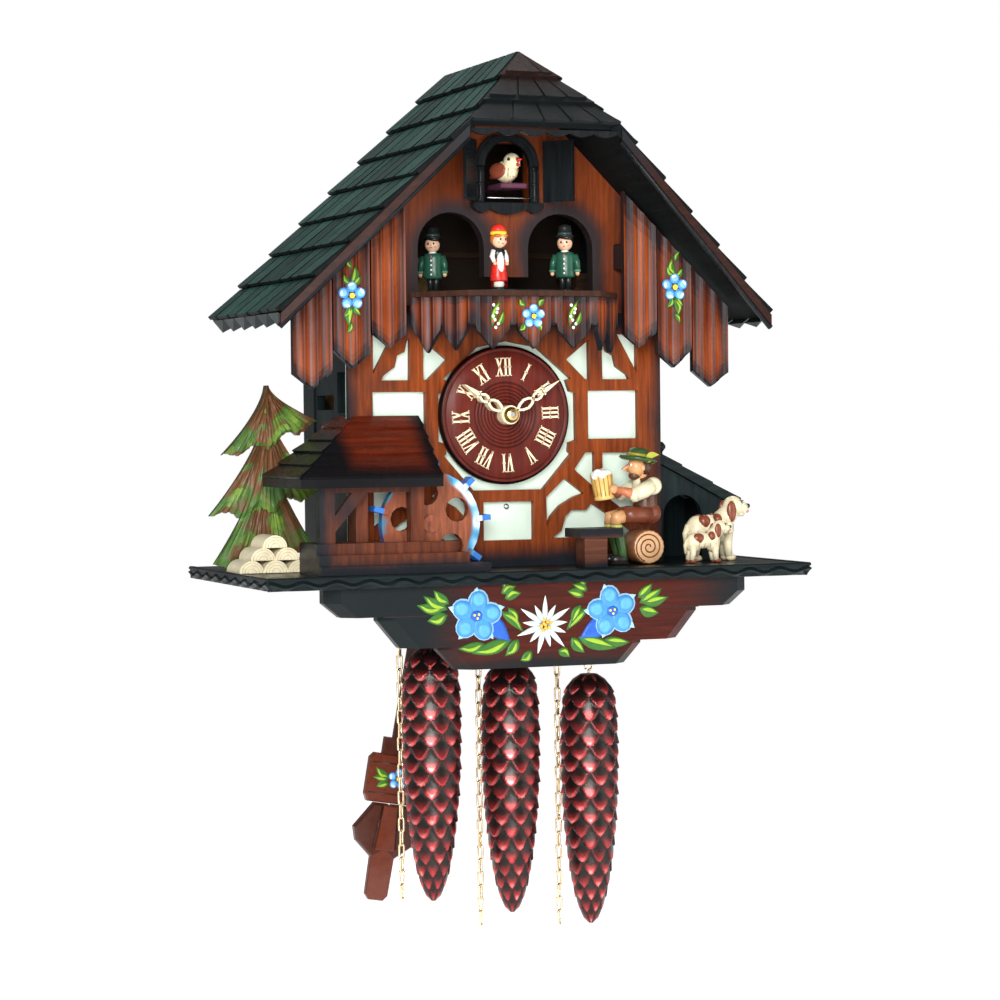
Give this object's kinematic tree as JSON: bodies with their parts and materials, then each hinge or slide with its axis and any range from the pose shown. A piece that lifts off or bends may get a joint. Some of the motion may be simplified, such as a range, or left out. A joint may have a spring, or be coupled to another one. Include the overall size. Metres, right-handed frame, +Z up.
{
  "type": "cuckoo clock",
  "caption": "Chalet cuckoo clock with shingled roof, turning dancers, water mill, beer drinker, dogs, pendulum and pine-cone weights on chains.",
  "frame": {"origin": "the shank of the wall nail that the keyhole hanger rests on, at the wall plane", "axes": "+X to the right of someone facing the dial, +Y into the wall, +Z up; the dial faces -Y"},
  "size_m": [0.326, 0.164, 0.5105],
  "materials": {
    "stained_wood": "stained and lacquered, airbrushed dark at the edges",
    "dark_wood": "dark stain, satin lacquer",
    "shingle_wood": "dark teal-black stain over carved shingles",
    "mint_panel": "matt mint-white paint",
    "dial_wood": "dark red-brown lacquer",
    "cream_hand": "cream, fretted",
    "brass": "satin",
    "steel": "brushed",
    "cone_iron": "bronzed dark brown with copper-red highlights",
    "tree_green": "green paint",
    "log_cream": "pale, unstained",
    "figure_cream": "carved and painted cream with brown patches",
    "figure_green": "painted: green coat, black hat",
    "figure_red": "painted: red skirt, white apron",
    "figure_brown": "painted: brown breeches, black waistcoat",
    "shirt_cream": "painted cream sleeves, gold stein",
    "wheel_wood": "stained, painted blue and white rim",
    "bare_wood": "unfinished softwood"
  },
  "bodies": {
    "house": {"case_side_left": "dark_wood", "case_side_right": "dark_wood", "side_vent_left": "dark_wood", "side_vent_right": "dark_wood", "facade_backing": "mint_panel", "facade_fretwork": "stained_wood", "gable_board": "stained_wood", "rear_gable": "bare_wood", "wall_hanger": "steel", "roof_left": "shingle_wood", "roof_right": "shingle_wood", "roof_hip": "shingle_wood", "base_shelf": "dark_wood", "base_apron": "dark_wood", "wing_boards_left": "stained_wood", "wing_boards_right": "stained_wood", "balcony": "stained_wood", "bird_portal": "dark_wood", "dial": "dial_wood", "movement_front_plate": "brass", "movement_back_plate": "brass", "music_box": "brass", "whistle_left": "bare_wood", "whistle_right": "bare_wood", "mill_house": "dark_wood", "mill_roof": "stained_wood", "tree": "tree_green", "log_pile": "log_cream", "table": "dark_wood", "barrel_log": "bare_wood", "drinker": "figure_brown", "kennel": "dark_wood", "kennel_roof": "shingle_wood", "dog": "figure_cream", "puppy": "figure_cream"},
    "minute_hand_body": {"minute_hand": "cream_hand", "hand_nut": "brass", "centre_arbor": "steel"},
    "hour_hand_body": {"hour_hand": "cream_hand"},
    "pendulum_body": {"pendulum": "stained_wood"},
    "cuckoo_body": {"cuckoo": "figure_cream"},
    "bird_door_left_body": {"bird_door_left": "dark_wood"},
    "bird_door_right_body": {"bird_door_right": "dark_wood"},
    "weight_strike_body": {"weight_strike": "cone_iron"},
    "weight_time_body": {"weight_time": "cone_iron"},
    "weight_music_body": {"weight_music": "cone_iron"},
    "chain_strike_body": {"chain_strike": "brass"},
    "chain_time_body": {"chain_time": "brass"},
    "chain_music_body": {"chain_music": "brass"},
    "strike_wheel_body": {"strike_great_wheel": "brass"},
    "time_wheel_body": {"time_great_wheel": "brass"},
    "music_wheel_body": {"music_great_wheel": "brass"},
    "carousel_body": {"carousel": "dark_wood", "dancer_lady_front": "figure_red", "dancer_man_right": "figure_green", "dancer_lady_back": "figure_red", "dancer_man_left": "figure_green"},
    "mill_wheel_body": {"mill_wheel": "wheel_wood"},
    "drinker_arms_body": {"drinker_arms": "shirt_cream"},
    "back_panel_body": {"back_panel": "bare_wood"}
  },
  "joints": [
    {"name": "minute_hand_turn", "type": "hinge", "parent": "house", "child": "minute_hand_body", "pos_m": [-0.003, -0.112, -0.1375], "axis": [0, 1, 0], "continuous": true},
    {"name": "hour_hand_turn", "type": "hinge", "parent": "house", "child": "hour_hand_body", "pos_m": [-0.003, -0.11, -0.1375], "axis": [0, 1, 0], "continuous": true},
    {"name": "pendulum_swing", "type": "hinge", "parent": "house", "child": "pendulum_body", "pos_m": [-0.003, -0.03, -0.097], "axis": [0, -1, 0], "range_deg": [0, 20]},
    {"name": "cuckoo_bow", "type": "slide", "parent": "house", "child": "cuckoo_body", "axis": [0, 1, 0], "range_m": [0, 0.024]},
    {"name": "bird_door_left_swing", "type": "hinge", "parent": "house", "child": "bird_door_left_body", "pos_m": [-0.0209, -0.1072, 0.002], "axis": [0, 0, 1], "range_deg": [0, 128]},
    {"name": "bird_door_right_swing", "type": "hinge", "parent": "house", "child": "bird_door_right_body", "pos_m": [0.0209, -0.1072, 0.002], "axis": [0, 0, -1], "range_deg": [0, 128]},
    {"name": "weight_strike_drop", "type": "slide", "parent": "house", "child": "weight_strike_body", "axis": [0, 0, -1], "range_m": [0, 0.14]},
    {"name": "chain_strike_rise", "type": "slide", "parent": "house", "child": "chain_strike_body", "axis": [0, 0, 1], "range_m": [0, 0.14]},
    {"name": "strike_wheel_turn", "type": "hinge", "parent": "house", "child": "strike_wheel_body", "pos_m": [-0.0501, -0.08, -0.163], "axis": [0, 1, 0], "range_deg": [0, 950]},
    {"name": "weight_time_drop", "type": "slide", "parent": "house", "child": "weight_time_body", "axis": [0, 0, -1], "range_m": [0, 0.14]},
    {"name": "chain_time_rise", "type": "slide", "parent": "house", "child": "chain_time_body", "axis": [0, 0, 1], "range_m": [0, 0.14]},
    {"name": "time_wheel_turn", "type": "hinge", "parent": "house", "child": "time_wheel_body", "pos_m": [-0.0011, -0.08, -0.163], "axis": [0, 1, 0], "range_deg": [0, 950]},
    {"name": "weight_music_drop", "type": "slide", "parent": "house", "child": "weight_music_body", "axis": [0, 0, -1], "range_m": [0, 0.14]},
    {"name": "chain_music_rise", "type": "slide", "parent": "house", "child": "chain_music_body", "axis": [0, 0, 1], "range_m": [0, 0.14]},
    {"name": "music_wheel_turn", "type": "hinge", "parent": "house", "child": "music_wheel_body", "pos_m": [0.0489, -0.08, -0.163], "axis": [0, 1, 0], "range_deg": [0, 950]},
    {"name": "carousel_turn", "type": "hinge", "parent": "house", "child": "carousel_body", "pos_m": [0, -0.0886, -0.068], "axis": [0, 0, 1], "range_deg": [0, 725]},
    {"name": "mill_wheel_turn", "type": "hinge", "parent": "house", "child": "mill_wheel_body", "pos_m": [-0.0545, -0.116, -0.1985], "axis": [0, 1, 0], "range_deg": [0, 1210]},
    {"name": "drinker_arms_lift", "type": "hinge", "parent": "house", "child": "drinker_arms_body", "pos_m": [0.0793, -0.116, -0.179], "axis": [0, 1, 0], "range_deg": [-6, 14]},
    {"name": "back_panel_lift_off", "type": "slide", "parent": "house", "child": "back_panel_body", "axis": [0, 1, 0], "range_m": [0, 0.02]}
  ],
  "couplings": [
    {"joint": "hour_hand_turn", "follows": "minute_hand_turn", "ratio": 0.083333},
    {"joint": "bird_door_left_swing", "follows": "cuckoo_bow", "rad_per_m": 93.05},
    {"joint": "bird_door_right_swing", "follows": "cuckoo_bow", "rad_per_m": 93.05},
    {"joint": "chain_strike_rise", "follows": "weight_strike_drop", "ratio": 1},
    {"joint": "strike_wheel_turn", "follows": "weight_strike_drop", "rad_per_m": 117.6},
    {"joint": "chain_time_rise", "follows": "weight_time_drop", "ratio": 1},
    {"joint": "time_wheel_turn", "follows": "weight_time_drop", "rad_per_m": 117.6},
    {"joint": "chain_music_rise", "follows": "weight_music_drop", "ratio": 1},
    {"joint": "music_wheel_turn", "follows": "weight_music_drop", "rad_per_m": 117.6},
    {"joint": "carousel_turn", "follows": "weight_music_drop", "rad_per_m": 90},
    {"joint": "mill_wheel_turn", "follows": "weight_music_drop", "rad_per_m": 150}
  ]
}
